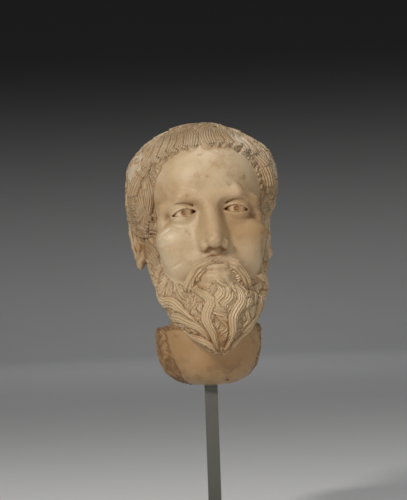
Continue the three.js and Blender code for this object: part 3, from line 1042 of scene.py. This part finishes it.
def ground_colour(m, beard_painted_light, combed):
    """Cream, warmer in patches, paler in the beard where light is painted on it, and browner low down."""
    colour = m.mix(m.remap(m.noise(14, 5), 0.35, 0.7), PALE, CREAM)
    colour = m.mix(m.patches(m.noise(9, 4), 0.42, 0.70, 0.8), colour, TAN)
    colour = m.mix(m.patches(m.noise(38, 6, 0.65), 0.5, 0.72, 0.55), colour, TAN)
    # painted light: the beard's lower, combed locks made paler
    colour = m.mix(beard_painted_light, colour, BEARD)
    low = m.times(m.remap(m.height(STONE_LOW.z), 0.15, 0.02), m.remap(combed, 0.0, 1.0, 1.0, 0.25))
    return m.mix(m.times(low, m.remap(m.noise(16, 6), 0.3, 0.6, 0.5, 1.0)), colour, TAN)


def stains_and_painted_shade(m, colour, beard_painted_light, valley):
    """Ochre in the hollows and grooves, as patina and as painted shade, brown where the neck is hewn and at
    its foot, and ochre blots.
    """
    groove, hollow, hewn = m.fact("groove"), m.fact("hollow"), m.fact("hewn")
    # ochre patina in the hollows, grooves and strand valleys, deepened as painted shade
    deep = m.math("MAXIMUM", m.remap(groove, 0.1, 0.85), m.remap(hollow, 0.3, 0.8))
    deep = m.math("MAXIMUM", deep, m.times(valley, 0.6))
    patina_and_shade = m.times(deep, m.remap(m.noise(30, 5), 0.25, 0.65, 0.35, 0.95))
    # less ochre where the beard has painted light
    colour = m.mix(m.times(patina_and_shade, m.math("SUBTRACT", 1.0, beard_painted_light)), colour, OCHRE)
    patchy = m.remap(m.noise(34, 8, 0.65), 0.3, 0.7, 0.15, 0.8)
    sunk = m.remap(groove, 0.0, 0.5, 0.4, 1.0)
    colour = m.mix(m.times(hewn, m.times(patchy, sunk)), colour, BROWN)
    colour = m.mix(m.patches(m.noise(40, 6, 0.7), 0.56, 0.68, 0.55), colour, OCHRE)
    foot = m.times(m.remap(m.height(STONE_LOW.z), 0.05, 0.0), m.remap(m.noise(34, 6, 0.6), 0.5, 0.66))
    return m.mix(m.times(foot, 0.8), colour, BROWN)


def weathered(m, colour):
    """Greyer where it is worn and in a few patches, pale in the scratches and rusty in the pits."""
    speck = m.remap(m.noise(240, 6, 0.7), 0.38, 0.6, 0.35, 0.95)
    colour = m.mix(m.times(m.fact("worn"), speck), colour, GREYISH)
    colour = m.mix(m.patches(m.noise(22, 8, 0.7), 0.62, 0.72, 0.4), colour, GREYISH)
    colour = m.mix(m.times(m.fact("fresh"), 0.5), colour, FRESH)
    return m.mix(m.remap(m.fact("pit"), 0.3, 0.9), colour, RUST)


def marble():
    """Old polished marble, whose colours follow what was carved at each point."""
    m = Nodes("old_marble")
    combed = m.fact("combed")
    valley = m.times(m.math("COSINE", m.times(m.fact("strand"), 2 * math.pi)), combed)
    # painted light on the beard: its combed locks low on the head are made paler and kept free of ochre
    beard_painted_light = m.times(combed, m.remap(m.height(STONE_LOW.z), 0.17, 0.13, 0.0, 0.7))
    colour = ground_colour(m, beard_painted_light, combed)
    m.set("Base Color", weathered(m, stains_and_painted_shade(m, colour, beard_painted_light, valley)))
    dull = m.times(m.math("MAXIMUM", m.fact("worn"), m.fact("hewn")), 0.25)
    m.set("Roughness", m.math("ADD", m.remap(m.noise(60, 5), 0.3, 0.7, 0.28, 0.48), dull))
    m.set("Subsurface Weight", 0.15)
    m.set("Subsurface Radius", (1.0, 0.72, 0.5))
    m.set("Subsurface Scale", 0.004)
    m.set("Specular IOR Level", 0.45)
    grained = m.bump(m.noise(420, 6, 0.65), 0.0008, 0.7)
    m.set("Normal", m.bump(m.times(valley, -1.0), 0.0007, 1.0, grained))
    return m.material


def painted_steel():
    m = Nodes("painted_steel_finish")
    m.set("Base Color", m.mix(m.noise(90, 4), (0.095, 0.095, 0.082, 1), (0.115, 0.113, 0.098, 1)))
    m.set("Roughness", m.remap(m.noise(160, 4), 0.3, 0.7, 0.42, 0.55))
    m.set("Normal", m.bump(m.noise(900, 3), 0.0002, 0.5))
    return m.material


def stainless():
    m = Nodes("stainless_finish")
    m.set("Base Color", m.mix(m.noise(200, 3), (0.52, 0.53, 0.54, 1), (0.62, 0.63, 0.64, 1)))
    m.set("Metallic", 1.0)
    m.set("Roughness", m.remap(m.noise(300, 4), 0.3, 0.7, 0.25, 0.4))
    return m.material


def felt():
    m = Nodes("felt_finish")
    m.set("Base Color", m.mix(m.noise(700, 6, 0.7), (0.015, 0.017, 0.015, 1), (0.05, 0.052, 0.048, 1)))
    m.set("Roughness", 0.95)
    m.set("Sheen Weight", 0.4)
    m.set("Normal", m.bump(m.noise(1500, 6, 0.8), 0.0008, 0.9))
    return m.material


def cushion():
    m = Nodes("cushion_finish")
    m.set("Base Color", m.mix(m.cells(900), (0.13, 0.13, 0.12, 1), (0.2, 0.2, 0.185, 1)))
    m.set("Roughness", 0.88)
    m.set("Normal", m.bump(m.cells(1200), 0.0004, 0.8))
    return m.material


def resin():
    m = Nodes("resin_finish")
    m.set("Base Color", m.mix(m.noise(120, 6), (0.6, 0.52, 0.38, 1), (0.72, 0.66, 0.52, 1)))
    m.set("Roughness", m.remap(m.noise(200, 4), 0.3, 0.7, 0.5, 0.7))
    m.set("Normal", m.bump(m.noise(600, 5), 0.0005, 0.6))
    return m.material


def finish_stand():
    """Gives each CAD node its finish, and returns the stone's."""
    finishes = {
        painted_steel(): ["base_plate", "post_tube"],
        stainless(): ["post_screw", "post_plug", "mount_pin", "pin_set_screw", "pin_socket"],
        felt(): ["base_felt"],
        cushion(): ["neck_pad"],
        resin(): ["bedding_resin"],
        marble(): ["marble_head"],
    }
    for material, names in finishes.items():
        for name in names:
            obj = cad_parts[name]
            obj.data.materials.clear()
            obj.data.materials.append(material)
    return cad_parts["marble_head"].data.materials[0]


# ---- the studio ----


FLOOR_RADIUS = 5.0
WALL_BEND = 1.6
WALL_TOP = 4.0
PAPER_FADE = (-0.1, 1.14)  # the heights between which painted shade darkens the paper
PAINTED_SHADE_ON_PAPER = (0.05, 0.05, 0.05, 1)
STONE_MIDDLE = (0, 0, 0.4)
LAMPS = [  # name, place, aim, size, watts and colour
    ("key", (-1.15, -1.8, 1.4), STONE_MIDDLE, 0.35, 33, (1.0, 0.97, 0.92)),
    ("top", (0.2, -0.2, 2.1), STONE_MIDDLE, 0.8, 9, (1, 1, 1)),
    ("sweep", (0, 4.3, 1.6), (0, 4.1, 0), 1.8, 4.5, (1, 1, 1)),
    ("fill", (1.5, -2.0, 0.3), STONE_MIDDLE, 1.4, 15, (1.0, 0.96, 0.90)),
]
WORLD_COLOUR = (0.8, 0.82, 0.85, 1)
WORLD_STRENGTH = 0.18
CAMERA_DISTANCE = 3.0
WIDTH_SHOWN = 0.6133
CAMERA_ASIDE = -0.0034
CAMERA_OVER_STONE_LOW = 0.165
CAMERA_ROLL = math.radians(2)


def paper():
    """Pale paper, with painted shade that darkens it up the wall."""
    m = Nodes("studio_paper")
    pale = m.mix(m.noise(3, 2), (0.82, 0.82, 0.81, 1), (0.86, 0.86, 0.85, 1))
    m.set("Base Color", m.mix(m.remap(m.height(), *PAPER_FADE), pale, PAINTED_SHADE_ON_PAPER))
    m.set("Roughness", 0.9)
    return m.material


def backdrop():
    """A pale floor that curves up into a wall all round, beyond where a camera stands."""
    curve = [
        (FLOOR_RADIUS + WALL_BEND * math.sin(a), WALL_BEND - WALL_BEND * math.cos(a))
        for a in np.radians(np.arange(6, 91, 6))
    ]
    flat = [(radius, 0.0) for radius in (0.01, 0.5, 1.5, 3.0, FLOOR_RADIUS)]
    profile = [*flat, *curve, (FLOOR_RADIUS + WALL_BEND, WALL_TOP)]
    around = np.radians(np.arange(0, 360, 5))
    points = np.array([(r * math.cos(a), r * math.sin(a), z) for r, z in profile for a in around])
    ring, row = np.meshgrid(np.arange(len(around)), np.arange(len(profile) - 1))
    here = row * len(around) + ring
    after = row * len(around) + (ring + 1) % len(around)
    up = len(around)
    faces = np.stack([here, after, after + up, here + up], -1).reshape(-1, 4)[:, ::-1]
    obj = bpy.data.objects.new("studio_sweep", mesh_of("studio_sweep", points, faces))
    obj.data.polygons.foreach_set("use_smooth", [True] * len(obj.data.polygons))
    bpy.context.scene.collection.objects.link(obj)
    obj.data.materials.append(paper())


def lamp(name, place, aim, size, watts, colour):
    light = bpy.data.lights.new(name, "AREA")
    light.shape = "DISK"
    light.size = size
    light.energy = watts
    light.color = colour
    obj = bpy.data.objects.new(name, light)
    obj.location = place
    obj.rotation_euler = (Vector(aim) - Vector(place)).to_track_quat("-Z", "Y").to_euler()
    bpy.context.scene.collection.objects.link(obj)


def studio():
    backdrop()
    for settings in LAMPS:
        lamp(*settings)
    world = bpy.data.worlds.new("studio")
    world.use_nodes = True
    background = world.node_tree.nodes["Background"]
    background.inputs["Color"].default_value = WORLD_COLOUR
    background.inputs["Strength"].default_value = WORLD_STRENGTH
    bpy.context.scene.world = world
    bpy.context.scene.view_settings.view_transform = "Standard"


def camera():
    """A long lens, level with the middle of the frame, rolled so that the post leans as in the photograph."""
    data = bpy.data.cameras.new("camera")
    data.lens = data.sensor_width * CAMERA_DISTANCE / WIDTH_SHOWN
    data.clip_end = 50
    obj = bpy.data.objects.new("camera", data)
    obj.location = (CAMERA_ASIDE, -CAMERA_DISTANCE, STONE_LOW.z + CAMERA_OVER_STONE_LOW)
    level = Matrix.Rotation(math.pi / 2, 3, "X")
    obj.rotation_euler = (level @ Matrix.Rotation(-CAMERA_ROLL, 3, "Z")).to_euler()
    bpy.context.scene.collection.objects.link(obj)
    bpy.context.scene.camera = obj


camera()
stone = finish_stand()
head = marble_head()
head.data.materials.append(stone)
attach(head, "head")
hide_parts("marble_head")
studio()
